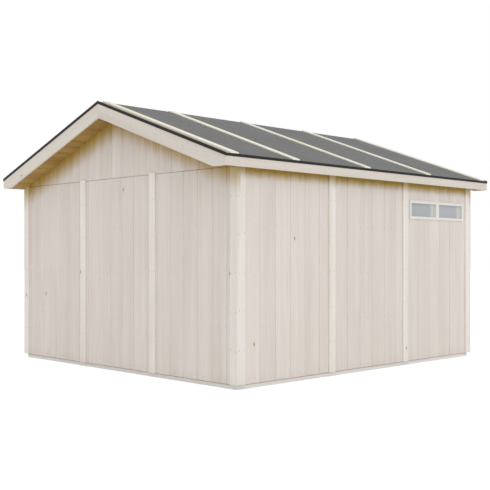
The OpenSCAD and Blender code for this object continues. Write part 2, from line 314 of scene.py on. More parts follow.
def dress(tree, surface, colour, roughness, height, strength, relief):
    """Joins a colour, a roughness and, where there is a relief, a bump to the surface."""
    tree.links.new(colour, surface.inputs["Base Color"])
    tree.links.new(roughness, surface.inputs["Roughness"])
    if relief:
        bump = add(tree, "ShaderNodeBump", {
            "Height": height, "Strength": strength, "Distance": relief})
        tree.links.new(bump.outputs[0], surface.inputs["Normal"])


GRAIN_RELIEF = 0.0004
# The eave shade tint is painted shade: it is multiplied into the wood close under the roof.
EAVE_SHADE_TINT, SPLASH_GREY, SPLASH = (207, 179, 84), (168, 160, 150), 0.1


def wood_finish(name, pale, streak, knots, figure=1.0, change=0.08, eave_shade=0.0, grain_turn=None):
    material, tree, surface = new_material(name)
    position = add(tree, "ShaderNodeTexCoord").outputs["Object"]
    if grain_turn is None:
        along = add(tree, "ShaderNodeAttribute", attribute_name="grain").outputs["Vector"]
        board = add(tree, "ShaderNodeAttribute", attribute_name="board").outputs["Fac"]
    else:
        along = add(tree, "ShaderNodeMapping", {"Vector": position, "Rotation": grain_turn},
                    vector_type="POINT").outputs[0]
        board = 0.5
    grain = add(tree, "ShaderNodeGroup", {
        "Along Grain": along, "Board": board, "Pale": linear(*pale), "Streak": linear(*streak),
        "Figure": figure, "Board Change": change, "Knots": knots}, node_tree=wood_grain).outputs
    colour = grain["Color"]
    # Painted shade: close under the roof the wood is darkened and warmed in place of the shade
    # and bounce light under the overhangs. Near the ground a little splash grey is mixed in.
    if eave_shade:
        shade_and_splash = add(tree, "ShaderNodeGroup", {"Position": position}, node_tree=eave_shade_and_splash).outputs
        colour = mix(tree, times(tree, shade_and_splash["Eave Shade"], eave_shade), colour, linear(*EAVE_SHADE_TINT),
                     "MULTIPLY")
        colour = mix(tree, times(tree, shade_and_splash["Splash"], SPLASH), colour, linear(*SPLASH_GREY))
    surface.inputs["Specular IOR Level"].default_value = 0.3
    dress(tree, surface, colour, grain["Roughness"], grain["Height"], 0.5, GRAIN_RELIEF)
    return material


cladding_wood = wood_finish(
    "Cladding wood", (230, 223, 217), (211, 199, 187), knots=0.006, figure=0.7, change=0.06,
    eave_shade=1.0)
cover_wood = wood_finish(
    "Cover board wood", (241, 237, 231), (224, 215, 205), knots=0.07, figure=0.8, change=0.04,
    eave_shade=0.7)
fascia_wood = wood_finish(
    "Fascia wood", (227, 220, 210), (209, 198, 185), knots=0.03, figure=0.8, change=0.05)
batten_wood = wood_finish(
    "Roof batten wood", (247, 244, 230), (236, 227, 198), knots=0.03, figure=0.9, change=0.04)
base_wood = wood_finish("Base beam wood", (241, 239, 234), (226, 223, 217), knots=0.03)
deck_wood = wood_finish(
    "Roof board wood", (187, 154, 90), (159, 122, 60), knots=0.08, change=0.14)
QUARTER = math.pi / 2
GRAIN_TURNS = {"Upright": (0, QUARTER, 0), "Cross": (0, 0, 0), "Long": (0, 0, -QUARTER)}
upright_frame, cross_frame, long_frame = [
    wood_finish(f"{kind} frame timber", (224, 196, 150), (196, 160, 108), knots=0.1,
                grain_turn=turn) for kind, turn in GRAIN_TURNS.items()]
print("wood finishes:", [m.name for m in bpy.data.materials if "wood" in m.name.lower()])

# %% [markdown]
# ## Felt, zinc, paint and glass
# Roofing felt is a bitumen sheet with slate grit pressed into its top, so its face is a
# fine grey speckle and its cut or folded edges are black. The face and the edges are
# told apart by which way they point. Nail heads are dull zinc, the window casings are
# painted, and the panes are obscured glass, which looks like a flat pale grey.

# %% Felt
BARE_EDGE = 0.075


def felt_finish():
    material, tree, surface = new_material("Slate grit felt")
    position = add(tree, "ShaderNodeTexCoord").outputs["Object"]
    grit = noise(tree, position, 95.0, 5.0, 0.75)
    tone = sway(tree, noise(tree, position, 2.2, 3.0), 0.15, grit)
    grey = mix(tree, ramp(tree, tone, 0.3, 0.7, 0.0, 1.0, "LINEAR"), linear(92, 92, 94),
               linear(138, 137, 136))
    # The strip outside the gable battens is bare of grit and much paler
    along = calc(tree, "ABSOLUTE", split(tree, position)[1])
    bare = calc(tree, "GREATER_THAN", along, verge - BARE_EDGE)
    grey = mix(tree, bare, grey, linear(172, 166, 158))
    facing = split(tree, add(tree, "ShaderNodeNewGeometry").outputs["Normal"])[2]
    face = ramp(tree, facing, 0.55, 0.8, 0.0, 1.0, "LINEAR")
    surface.inputs["Specular IOR Level"].default_value = 0.25
    dress(tree, surface, mix(tree, face, linear(34, 29, 27), grey),
          calc(tree, "MULTIPLY_ADD", face, 0.3, 0.62), grit, 0.6, 0.001)
    return material


felt_sheet = felt_finish()
print(felt_sheet.name, len(felt_sheet.node_tree.nodes), "nodes")

# %% Nail heads, paint and glass
def mottled(name, low, high, scale, roughness, relief=0.0, metallic=0.0, stretch=(1, 1, 1)):
    material, tree, surface = new_material(name)
    spot = add(tree, "ShaderNodeMapping", {
        "Vector": add(tree, "ShaderNodeTexCoord").outputs["Object"], "Scale": stretch})
    pattern = noise(tree, spot.outputs[0], scale, 3.0)
    surface.inputs["Metallic"].default_value = metallic
    dress(tree, surface, mix(tree, pattern, linear(*low), linear(*high)),
          calc(tree, "MULTIPLY_ADD", pattern, 0.15, roughness), pattern, 0.5, relief)
    return material


nail_zinc = mottled("Nail zinc", (96, 90, 84), (140, 134, 128), 180.0, 0.45, metallic=0.6)
casing_paint = mottled(
    "Casing paint", (226, 223, 216), (236, 234, 229), 30.0, 0.42, relief=0.0003)
pane_glass = mottled(
    "Obscured glass", (162, 166, 170), (196, 199, 201), 1.6, 0.06, stretch=(1, 1, 0.2))
print("small finishes:", nail_zinc.name, casing_paint.name, pane_glass.name)

# %% [markdown]
# A paler strip on the back end of each pane is painted light: it stands in for the lit lining
# seen through the glass. Both panes are alike, so the strip is laid on one and repeated at the
# panes' spacing.

# %% Painted light on the panes
STRIP = 0.1


def paint_lining_light(material, panes):
    tree = material.node_tree
    tint = tree.nodes["Principled BSDF"].inputs["Base Color"]
    ends = sorted({round(v.co.y, 4) for v in panes.data.vertices})
    length, spacing = ends[1] - ends[0], ends[2] - ends[0]
    along = split(tree, add(tree, "ShaderNodeTexCoord").outputs["Object"])[1]
    along = calc(tree, "MODULO", less(tree, along, ends[0]), spacing)
    strip = ramp(tree, along, length - STRIP, length - 0.5 * STRIP, 0.0, 1.0)
    # Painted light: the glass turns paler where the lit lining would be seen through it.
    tree.links.new(mix(tree, strip, tint.links[0].from_socket, linear(206, 208, 201)), tint)
    return length


pane_length = paint_lining_light(pane_glass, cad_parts["window_glass"])
print("panes", round(pane_length, 3), "m long, strip", STRIP)

# %% [markdown]
# ## The cladding boards
# Each wall panel is a row of upright boards, planed flat with a small chamfer down both
# edges, so that a narrow V shows wherever two meet. A board could be modelled by hand and
# copied, but a rule is better: a Geometry Nodes tree lays a row of chamfered boards,
# trims the row to the panel, turns it to face out of its wall, cuts the heads to the
# roof's slope and, where there is a window, cuts the opening. It leaves each board's
# grain coordinates and number behind for the finish. The roof boards use the same tree.

# %% Geometry node helpers
def here(tree):
    return split(tree, add(tree, "GeometryNodeInputPosition").outputs[0])


def move(tree, geometry, **where):
    return add(tree, "GeometryNodeSetPosition", {"Geometry": geometry, **where}).outputs[0]


def store(tree, geometry, name, value, sort="FLOAT", domain="POINT"):
    return add(tree, "GeometryNodeStoreNamedAttribute", {
        "Geometry": geometry, "Name": name, "Value": value}, data_type=sort,
        domain=domain).outputs[0]


def realized(tree, geometry):
    return add(tree, "GeometryNodeRealizeInstances", {"Geometry": geometry}).outputs[0]


def close_tree(tree, geometry, finish, out):
    made = add(tree, "GeometryNodeSetMaterial", {
        "Geometry": realized(tree, geometry), "Material": finish}).outputs[0]
    tree.links.new(made, out["Geometry"])
    return tree


print("geometry node helpers ready")

# %% Board row tree
SLIP, STAND = 0.0008, 0.0009


def chamfered_board(tree, given):
    """One board at the origin, with a shoulder column beside each outer edge."""
    width = less(tree, given["Pitch"], given["Gap"])
    thick = less(tree, given["Face"], given["Back"])
    tall = less(tree, given["Top"], given["Foot"])
    board = add(tree, "GeometryNodeMeshCube", {
        "Size": vector(tree, width, thick, tall), "Vertices X": 4, "Vertices Y": 2,
        "Vertices Z": 2}).outputs["Mesh"]
    x, y, z = here(tree)
    outer = calc(tree, "GREATER_THAN", calc(tree, "ABSOLUTE", x), times(tree, width, 0.3))
    shoulder = less(tree, times(tree, width, 0.5), given["Chamfer"])
    shoulder = times(tree, calc(tree, "SIGN", x), shoulder)
    aside = times(tree, less(tree, shoulder, x), less(tree, 1.0, outer))
    back = times(tree, times(tree, outer, calc(tree, "LESS_THAN", y, 0.0)), given["Chamfer"])
    return move(tree, board, Offset=vector(tree, aside, back, 0.0))


def board_row_tree():
    tree, given, out = new_tree("Board row", "GeometryNodeTree", [
        ("Start", "Float", 0.0), ("End", "Float", 1.0), ("Pitch", "Float", 0.2),
        ("Shift", "Float", 0.0), ("Boards", "Int", 6), ("Back", "Float", 0.0),
        ("Face", "Float", 0.018), ("Foot", "Float", 0.0), ("Top", "Float", 2.0),
        ("Chamfer", "Float", 0.0035), ("Gap", "Float", 0.0018), ("Turn", "Vector", (0, 0, 0)),
        ("Place", "Vector", (0, 0, 0)), ("Follow Roof", "Float", 1.0),
        ("Ridge", "Float", 2.8), ("Slope", "Float", 0.356), ("Cut Opening", "Bool", False),
        ("Opening Middle", "Vector", (0, 0, 0)), ("Opening Size", "Vector", (1, 1, 1)),
        ("Seed", "Int", 1), ("Finish", "Material", None)],
        [("Geometry", "Geometry")])
    tree.is_modifier = True
    depth = times(tree, calc(tree, "ADD", given["Face"], given["Back"]), -0.5)
    middle = times(tree, calc(tree, "ADD", given["Top"], given["Foot"]), 0.5)
    first = calc(tree, "ADD", calc(tree, "ADD", given["Start"], given["Shift"]),
                 times(tree, given["Pitch"], 0.5))
    row = add(tree, "GeometryNodeMeshLine", {
        "Count": given["Boards"], "Start Location": vector(tree, first, depth, middle),
        "Offset": vector(tree, given["Pitch"], 0.0, 0.0)}).outputs[0]
    # No two boards are nailed on quite alike
    stray = add(tree, "FunctionNodeRandomValue", {
        "Min": (-SLIP, 0, 0), "Max": (SLIP, STAND, 0), "Seed": given["Seed"]},
        data_type="FLOAT_VECTOR").outputs[0]
    boards = add(tree, "GeometryNodeInstanceOnPoints", {
        "Points": move(tree, row, Offset=stray), "Instance": chamfered_board(tree, given)})
    boards = realized(tree, boards.outputs[0])

    # The row is trimmed to the panel, turned to its wall and cut under the roof's slope
    x, y, z = here(tree)
    held = add(tree, "ShaderNodeClamp", {0: x, 1: given["Start"], 2: given["End"]}).outputs[0]
    boards = move(tree, boards, Position=vector(tree, held, y, z))
    boards = store(tree, boards, "head", calc(tree, "GREATER_THAN", z, middle))
    turn = add(tree, "FunctionNodeEulerToRotation", {0: given["Turn"]}).outputs[0]
    boards = add(tree, "GeometryNodeTransform", {
        "Geometry": boards, "Translation": given["Place"], "Rotation": turn}).outputs[0]
    x, y, z = here(tree)
    drop = calc(tree, "MINIMUM", less(tree, roof_over(tree, given, x), z), 0.0)
    head = add(tree, "GeometryNodeInputNamedAttribute", {"Name": "head"},
               data_type="FLOAT").outputs[0]
    drop = times(tree, times(tree, drop, head), given["Follow Roof"])
    boards = move(tree, boards, Offset=vector(tree, 0.0, 0.0, drop))
    boards = add(tree, "GeometryNodeMergeByDistance", {
        "Geometry": boards, "Distance": 0.0001}).outputs[0]
    opening = add(tree, "GeometryNodeMeshCube", {"Size": given["Opening Size"]}).outputs[0]
    opening = add(tree, "GeometryNodeTransform", {
        "Geometry": opening, "Translation": given["Opening Middle"]}).outputs[0]
    opened = add(tree, "GeometryNodeMeshBoolean", {"Mesh 1": boards, "Mesh 2": opening},
                 operation="DIFFERENCE").outputs[0]
    boards = add(tree, "GeometryNodeSwitch", {
        "Switch": given["Cut Opening"], "False": boards, "True": opened},
        input_type="GEOMETRY").outputs[0]

    # The grain runs along each board, so it is measured in the row's own directions
    home = add(tree, "ShaderNodeVectorMath", {
        0: add(tree, "GeometryNodeInputPosition").outputs[0], 1: given["Place"]},
        operation="SUBTRACT").outputs[0]
    home = add(tree, "FunctionNodeRotateVector", {
        0: home, 1: add(tree, "FunctionNodeInvertRotation", {0: turn}).outputs[0]}).outputs[0]
    x, y, z = split(tree, home)
    boards = store(tree, boards, "grain", vector(tree, z, x, y), "FLOAT_VECTOR")
    number = less(tree, less(tree, x, given["Start"]), given["Shift"])
    number = calc(tree, "FLOOR", calc(tree, "DIVIDE", number, given["Pitch"]))
    whole = add(tree, "FunctionNodeFloatToInt", {0: number}).outputs[0]
    pick = add(tree, "FunctionNodeRandomValue", {"ID": whole, "Seed": given["Seed"]},
               data_type="FLOAT").outputs[1]
    boards = store(tree, boards, "board", pick, domain="FACE")
    return close_tree(tree, boards, given["Finish"], out)


board_row = board_row_tree()
print("board row tree:", len(board_row.nodes), "nodes")

# %% [markdown]
# A tree is only a rule. To get a real piece from it, the rule is put on an empty object,
# its inputs are filled in, and what it makes is kept as a plain mesh.

# %% Grow a mesh from a tree, and place a finished piece
def grown(tree, values):
    seed_object = bpy.data.objects.new("growing", bpy.data.meshes.new("growing"))
    scene.collection.objects.link(seed_object)
    rule = seed_object.modifiers.new("rule", "NODES")
    rule.node_group = tree
    for item in tree.interface.items_tree:
        if item.item_type == "SOCKET" and item.in_out == "INPUT" and item.name in values:
            rule[item.identifier] = values[item.name]
    seed_object.update_tag()
    graph = bpy.context.evaluated_depsgraph_get()
    mesh = bpy.data.meshes.new_from_object(seed_object.evaluated_get(graph), depsgraph=graph)
    bpy.data.objects.remove(seed_object)
    return mesh


def place(name, mesh, slot, *stands_for):
    mesh.name = name
    piece = bpy.data.objects.new(name, mesh)
    scene.collection.objects.link(piece)
    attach(piece, "root")
    if stands_for:
        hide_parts(*stands_for)
    return piece


print("growing and placing ready")

# %% [markdown]
# ## Cladding the walls
# Every panel gets its row. The boards are about 210 mm wide. Where the first joint falls
# differs from panel to panel, because the joiner starts each one with the offcut of the
# last, so every panel has its own shift. A wall's number of quarter turns says which way
# it faces: 0 the front gable, 1 the right wall, 2 the back gable, 3 the left wall.

# %% Clad every panel
WALLS = {"front": 0, "right": 1, "back": 2, "left": 3}
GABLE_SHIFTS = {"left": -0.09, "middle": 0.09, "right": 0.07}
SIDE_SHIFTS = {"front": 0.024, "middle": 0.045, "back": 0.06}
TRIANGLE_SHIFT = 0.093
PANEL_BOARDS, TRIANGLE_BOARDS = 6, 9
LAP = 0.014


def wall_axes(wall):
    angle = WALLS[wall] * QUARTER
    along = Vector((math.cos(angle), math.sin(angle), 0))
    return angle, along, Vector((math.sin(angle), -math.cos(angle), 0))


def clad(name, wall, boards, shift, opening=None):
    angle, along, outward = wall_axes(wall)
    low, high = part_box(name)
    ends = sorted((low.dot(along), high.dot(along)))
    faces = sorted((low.dot(outward), high.dot(outward)))
    pitch = (ends[1] - ends[0]) / boards
    values = {
        "Start": ends[0], "End": ends[1], "Pitch": pitch, "Boards": boards + 2,
        "Shift": shift - pitch * math.ceil(shift / pitch), "Back": faces[0], "Face": faces[1],
        "Foot": low.z, "Top": high.z, "Turn": (0, 0, angle), "Ridge": ridge_under,
        "Slope": SLOPE, "Seed": 1 + sum(map(ord, name)), "Finish": cladding_wood}
    if opening:
        values["Cut Opening"] = True
        values["Opening Middle"] = tuple((opening[0] + opening[1]) / 2)
        values["Opening Size"] = tuple(opening[1] - opening[0])
    piece = place(name + "_boards", grown(board_row, values), "cladding", name)
    return len(piece.data.polygons)


def window_opening(side):
    """The hole stops short of the casing's outer edge, which laps the boards."""
    low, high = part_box(side + "_window_stiles")
    rails_low, rails_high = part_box(side + "_window_rails")
    beyond = 0.05
    return (Vector((low.x - beyond, rails_low.y + LAP, rails_low.z + LAP)),
            Vector((high.x + beyond, rails_high.y - LAP, rails_high.z - LAP)))


faces_made = 0
for wall in ("front", "back"):
    for column, shift in GABLE_SHIFTS.items():
        faces_made += clad(f"{wall}_panel_{column}", wall, PANEL_BOARDS, shift)
    for half in ("left", "right"):
        shift = TRIANGLE_SHIFT if (half == "right") == (wall == "front") else -TRIANGLE_SHIFT
        faces_made += clad(f"{wall}_gable_{half}", wall, TRIANGLE_BOARDS, shift)
for wall in ("left", "right"):
    for row, shift in SIDE_SHIFTS.items():
        opening = window_opening(wall) if row == "back" else None
        faces_made += clad(f"{wall}_panel_{row}", wall, PANEL_BOARDS, shift, opening)
print("cladding faces:", faces_made)

# %% [markdown]
# ## Roof boards
# The roof is boarded along the ridge's line, and the boards' undersides show under the
# overhangs. The same tree lays them: its row runs down the slope, its faces look down,
# and its boards run the length of the roof.

# %% Board the roof
RIDGE_GAP, EAVE_GAP = 0.002, 0.008
DECK_BOARDS, SOFFIT_BOARDS = 14, 13


def slope_axes(sign):
    down = Vector((sign * math.cos(PITCH), 0, -math.sin(PITCH)))
    return down, Vector((sign * math.sin(PITCH), 0, math.cos(PITCH)))


def slope_boards(sign, under, reach, ends, boards, thick, more):
    """A row of boards down one slope. Under is the height of its underside at the ridge."""
    down, up = slope_axes(sign)
    turn = Matrix((down, up, down.cross(up))).transposed().to_euler()
    return grown(board_row, {
        "Start": RIDGE_GAP, "End": reach, "Pitch": reach / boards, "Boards": boards,
        "Back": -thick, "Face": 0.0, "Foot": ends[0], "Top": ends[1], "Turn": tuple(turn),
        "Place": (0, 0, under), "Follow Roof": 0.0, "Finish": deck_wood, **more})


for side, sign in (("right", 1), ("left", -1)):
    mesh = slope_boards(sign, ridge_under, eave * PLUMB, (-verge, verge), DECK_BOARDS, DECK, {
        "End": eave * PLUMB - EAVE_GAP, "Chamfer": 0.003, "Seed": 40 + sign})
    deck = place(f"roof_boards_{side}", mesh, "roof_boards", f"roof_deck_{side}")
    low, high = Vector(deck.bound_box[0]), Vector(deck.bound_box[6])
    print(deck.name, [round(v, 3) for v in low], [round(v, 3) for v in high])

# %% [markdown]
# ## Gable soffits
# Under each gable overhang the roof is boxed in by short boards, which run from the
# barge board back to the wall. They keep a raw yellow-brown, because no rain reaches
# them. The same tree lays them a little below the roof boards, it cuts them round the
# corner cover boards, and all four rows are joined into one piece.

# %% Board the soffits
def place_whole(name, whole, finish, slot, *stands_for):
    mesh = bpy.data.meshes.new(name)
    whole.to_mesh(mesh)
    whole.free()
    mesh.materials.append(finish)
    return place(name, mesh, slot, *stands_for)


def place_joined(name, parts, finish, slot, *stands_for):
    whole = bmesh.new()
    for part in parts:
        whole.from_mesh(part)
        bpy.data.meshes.remove(part)
    return place_whole(name, whole, finish, slot, *stands_for)


soffit_low, soffit_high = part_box("gable_soffit_boards")
SOFFIT, NOTCH = 0.016, 0.04
soffit_under = soffit_high.z - SOFFIT * PLUMB
rows = []
for sign in (1, -1):
    for end in (1, -1):
        ends = sorted((end * sign * -gable_out, end * sign * -barge_in))
        reach = soffit_high.x * PLUMB
        rows.append(slope_boards(sign, soffit_under, reach, ends, SOFFIT_BOARDS, SOFFIT, {
            "Chamfer": 0.007, "Gap": 0.006, "Seed": 60 + sign + 5 * end, "Cut Opening": True,
            "Opening Middle": (sign * half_width, end * (half_length - NOTCH / 2), soffit_low.z),
            "Opening Size": (2 * TRIM_WIDTH, NOTCH, 0.5)}))
soffits = place_joined("gable_soffits", rows, deck_wood, "roof_boards", "gable_soffit_boards")
print("soffits from y", round(soffit_low.y, 3), "polygons", len(soffits.data.polygons))

# %% [markdown]
# ## Timbers with eased edges
# The cover boards, beams, fascias, barge boards and battens are single planks. Each is a
# flat outline pushed through its thickness, with its edges eased by up to two
# millimetres, as a planer leaves them. The grain coordinates are laid along each plank's
# own length.

# %% Plank helper
X, Y, Z = Vector((1, 0, 0)), Vector((0, 1, 0)), Vector((0, 0, 1))
GOLDEN, FINE_EASE = 0.618034, 0.0015


def timber(name, planks, finish, slot, stands_for, ease=0.002):
    """planks is a list of (outline, push, grain direction, face direction)."""
    whole = bmesh.new()
    grain = whole.verts.layers.float_vector.new("grain")
    board = whole.verts.layers.float.new("board")
    for count, (outline, push, along, across) in enumerate(planks):
        part = bmesh.new()
        near = [part.verts.new(point) for point in outline]
        far = [part.verts.new(Vector(point) + push) for point in outline]
        part.faces.new(near)
        part.faces.new(far)
        for i in range(len(near)):
            j = (i + 1) % len(near)
            part.faces.new((near[i], near[j], far[j], far[i]))
        bmesh.ops.recalc_face_normals(part, faces=part.faces[:])
        bmesh.ops.bevel(part, geom=part.edges[:], offset=ease, segments=2, profile=0.6,
                        affect="EDGES", clamp_overlap=True)
        along, across = along.normalized(), across.normalized()
        through = along.cross(across)
        # Numbers spread like this keep neighbours from matching
        number = (count * GOLDEN + len(name) * 0.17) % 1
        made = {}
        for vert in part.verts:
            new = whole.verts.new(vert.co)
            new[grain] = Vector((vert.co.dot(along), vert.co.dot(across), vert.co.dot(through)))
            new[board] = number
            made[vert] = new
        for face in part.faces:
            whole.faces.new([made[vert] for vert in face.verts])
        part.free()
    return place_whole(name, whole, finish, slot, *stands_for)


def box_plank(low, high, along, across):
    outline = [(low[0], low[1], low[2]), (high[0], low[1], low[2]),
               (high[0], high[1], low[2]), (low[0], high[1], low[2])]
    return outline, Z * (high[2] - low[2]), along, across


def across_plank(profile, front, back, along, across, sign=1):
    """A profile in X and Z, pushed along Y, on the right (1) or the left (-1)."""
    return [(sign * x, front, z) for x, z in profile], Y * (back - front), along, across


print("plank helper ready")

# %% [markdown]
# ## Cover boards
# A cover board lies over each seam between two panels, and two boards box in every
# corner. They stand a little paler than the cladding, because they are planed smoother.

# %% Cover boards
corner_in = half_width - TRIM_WIDTH
corner_profile = [(corner_in, base_top), (half_width, base_top),
                  (half_width, deck_under(half_width)), (corner_in, deck_under(corner_in))]
gable_seam = side_out / 3
seam_top = max(v.co.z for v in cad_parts["front_trim_boards"].data.vertices
               if abs(v.co.x) < gable_seam + TRIM_WIDTH)
for wall, sign in (("front", -1), ("back", 1)):
    face = sorted((sign * half_length, sign * gable_out))
    planks = [across_plank(corner_profile, *face, Z, X, hand) for hand in (1, -1)]
    planks += [box_plank((x - TRIM_WIDTH / 2, face[0], base_top),
                         (x + TRIM_WIDTH / 2, face[1], seam_top), Z, X)
               for x in (-gable_seam, gable_seam)]
    timber(f"{wall}_cover_boards", planks, cover_wood, "trim", [f"{wall}_trim_boards"])

side_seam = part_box("right_panel_middle")[1].y + JOINT
side_profile = [(side_out, base_top), (half_width, base_top),
                (half_width, deck_under(half_width)), (side_out, deck_under(side_out))]
side_places = [(-gable_out, TRIM_WIDTH - gable_out)]
side_places += [(y - TRIM_WIDTH / 2, y + TRIM_WIDTH / 2) for y in (-side_seam, side_seam)]
side_places += [(gable_out - TRIM_WIDTH, gable_out)]
for wall, sign in (("right", 1), ("left", -1)):
    timber(f"{wall}_cover_boards",
           [across_plank(side_profile, *ends, Z, Y, sign) for ends in side_places],
           cover_wood, "trim", [f"{wall}_trim_boards"])
print("seams at x", round(gable_seam, 3), "and y", round(side_seam, 3))

# %% [markdown]
# ## Base beams, fascias and barge boards
# The walls stand on a beam all round. The beam's top is cut back along its outer edge, so
# that rain drips off the boards, and this leaves a thin shadow under the walls. A fascia
# closes the rafters' ends along each eave, and two barge boards follow the slopes on each
# gable, cut level at the foot so that they meet the fascias' bottom edges.

# %% Base beams
DRIP_HEIGHT, DRIP_DEPTH = 0.007, 0.03
gable_low, gable_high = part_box("gable_base_beams")
side_low, side_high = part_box("side_base_beams")
deep = gable_high.y - side_high.y
drip = base_top - DRIP_HEIGHT
top_deep = deep - DRIP_DEPTH
planks = []
for y, inset in ((gable_low.y, DRIP_DEPTH), (gable_high.y - deep, 0)):
    planks += [
        box_plank((gable_low.x, y, gable_low.z), (gable_high.x, y + deep, drip), X, Y),
        box_plank((gable_low.x + DRIP_DEPTH, y + inset, drip),
                  (gable_high.x - DRIP_DEPTH, y + inset + top_deep, base_top), X, Y)]
timber("gable_base_timbers", planks, base_wood, "base_timber", ["gable_base_beams"])
planks = []
for x, inset in ((side_low.x, DRIP_DEPTH), (side_high.x - deep, 0)):
    planks += [
        box_plank((x, side_low.y, side_low.z), (x + deep, side_high.y, drip), Y, X),
        box_plank((x + inset, side_low.y, drip),
                  (x + inset + top_deep, side_high.y, base_top), Y, X)]
timber("side_base_timbers", planks, base_wood, "base_timber", ["side_base_beams"])
print("base beams", round(deep, 3), "m deep")

# %% Fascias and barge boards
fascia_profile = [(fascia_low.x, fascia_low.z), (eave, fascia_low.z), (eave, deck_under(eave)),
                  (fascia_low.x, deck_under(fascia_low.x))]
for side, sign in (("right", 1), ("left", -1)):
    timber(f"{side}_fascia_board", [
        across_plank(fascia_profile, fascia_low.y, fascia_high.y, Y, Z, sign)],
        fascia_wood, "trim", [f"{side}_fascia"])

foot_x = (ridge_under - BARGE_WIDTH * PLUMB - fascia_low.z) / SLOPE
barge_profile = [(JOINT, deck_under(JOINT)), (eave, deck_under(eave)), (eave, fascia_low.z),
                 (foot_x, fascia_low.z), (JOINT, deck_under(JOINT) - BARGE_WIDTH * PLUMB)]
for wall, ends in (("front", (-verge, -barge_in)), ("back", (barge_in, verge))):
    timber(f"{wall}_barges", [
        across_plank(barge_profile, *ends, Vector((sign, 0, -SLOPE)),
                     Vector((sign * SLOPE, 0, 1)), sign) for sign in (1, -1)],
        fascia_wood, "trim", [f"{wall}_barge_boards"])
print("barge boards turn level at x", round(foot_x, 3))

# %% [markdown]
# ## The felt
# One sheet covers each slope and folds down over the roof boards' edges at the eave and
# at both gables. The fold is what gives the roof its thin black outline. It laps the top
# of the trim a little, and stands proud along the gables, where the felt is doubled.

# %% Felt sheets
lip = eave + FELT
FOLD_LAP, WELT = 0.004, 0.005
sheet_profile = [(0, deck_top(0)), (lip, deck_top(lip)), (lip, felt_top(lip)), (0, felt_top(0))]
fold_foot = deck_under(eave) - FOLD_LAP
eave_fold = [(eave, fold_foot), (lip, fold_foot), (lip, deck_top(lip)), (eave, deck_top(eave))]
verge_fold = [(0, deck_under(0) - FOLD_LAP), (eave, fold_foot), (lip, fold_foot),
              (lip, felt_top(lip) + WELT), (0, felt_top(0) + WELT)]
for side, sign in (("right", 1), ("left", -1)):
    down = Vector((sign, 0, -SLOPE))
    planks = [across_plank(sheet_profile, -verge, verge, down, Y, sign),
              across_plank(eave_fold, -verge, verge, Y, Z, sign)]
    planks += [across_plank(verge_fold, y, y + FELT, down, Z, sign)
               for y in (-verge - FELT, verge)]
    timber(f"felt_{side}", planks, felt_sheet, "felt", [f"roof_felt_{side}"], ease=0.0008)
print("felt folds down to", round(fold_foot, 3))

# %% [markdown]
# ## Roof battens
# Thin pale battens run from the ridge to the eaves and pin the felt down, one along each
# gable edge and three between. The three were nailed on by eye: their feet lie a little
# nearer the front gable than their heads. Both places are read from the frame.

# %% Battens
def on_felt(x, y, sign):
    return Vector((sign * x, y, felt_top(x)))


batten_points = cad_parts["roof_battens_right"].data.vertices
heads = sorted({round(v.co.y, 4) for v in batten_points if v.co.x < 0.001})
feet = sorted({round(v.co.y, 4) for v in batten_points if v.co.x > eave - 0.001})
batten_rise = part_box("roof_battens_right")[1].z - felt_top(0)
for side, sign in (("right", 1), ("left", -1)):
    planks = []
    for i in range(0, len(heads), 2):
        outline = [on_felt(0, heads[i], sign), on_felt(eave, feet[i], sign),
                   on_felt(eave, feet[i + 1], sign), on_felt(0, heads[i + 1], sign)]
        planks.append((outline, Z * batten_rise, outline[1] - outline[0], Y))
    timber(f"felt_battens_{side}", planks, batten_wood, "roof_battens",
           [f"roof_battens_{side}"], ease=FINE_EASE)
battens = [((heads[i] + heads[i + 1]) / 2, (feet[i] + feet[i + 1]) / 2)
           for i in range(0, len(heads), 2)]
print("battens, heads and feet at y", [(round(h, 3), round(f, 3)) for h, f in battens])

# %% [markdown]
# ## Windows
# A long, low window sits high in the back panel of each side wall: two fixed panes in a
# painted casing. The top and bottom rails run right across, and three stiles stand
# between them. The lining behind carries the panes through the wall.

# %% Window casings and panes
CASING, POST = 0.03, 0.062


def bar(xs, ys, zs, along):
    return box_plank((xs[0], ys[0], zs[0]), (xs[1], ys[1], zs[1]), along, X)


for side, sign in (("right", 1), ("left", -1)):
    low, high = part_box(f"{side}_window_rails")
    inner, proud = sorted(abs(v) for v in (low.x, high.x))
    front, back, foot, head = low.y, high.y, low.z, high.z
    outside = sorted((sign * side_out, sign * proud))
    lining = sorted((sign * inner, sign * side_out))
    through = sorted((sign * inner, sign * proud))
    rails = [bar(outside, (front, back), (foot, foot + CASING), Y),
             bar(lining, (front + LAP, back - LAP), (foot + LAP, foot + CASING), Y),
             bar(outside, (front, back), (head - CASING, head), Y),
             bar(lining, (front + LAP, back - LAP), (head - CASING, head - LAP), Y)]
    timber(f"{side}_window_sill_and_head", rails, casing_paint, "window_frame",
           [f"{side}_window_rails"], ease=FINE_EASE)
    post = ((front + back - POST) / 2, (front + back + POST) / 2)
    span = (foot + CASING, head - CASING)
    stiles = [bar(outside, (front, front + CASING), span, Z),
              bar(lining, (front + LAP, front + CASING), span, Z),
              bar(through, post, span, Z),
              bar(outside, (back - CASING, back), span, Z),
              bar(lining, (back - CASING, back - LAP), span, Z)]
    timber(f"{side}_window_posts", stiles, casing_paint, "window_frame",
           [f"{side}_window_stiles"], ease=FINE_EASE)
    print(side, "window", round(back - front, 3), "by", round(head - foot, 3))

# %% [markdown]
# ## Nails
# Two nails hold every board of a wall panel at each rail, and rows of them run along the
# cover boards, the fascias, the barge boards and the roof battens. A Geometry Nodes tree
# sets out each row with a little wander, because a hammer isn't exact.

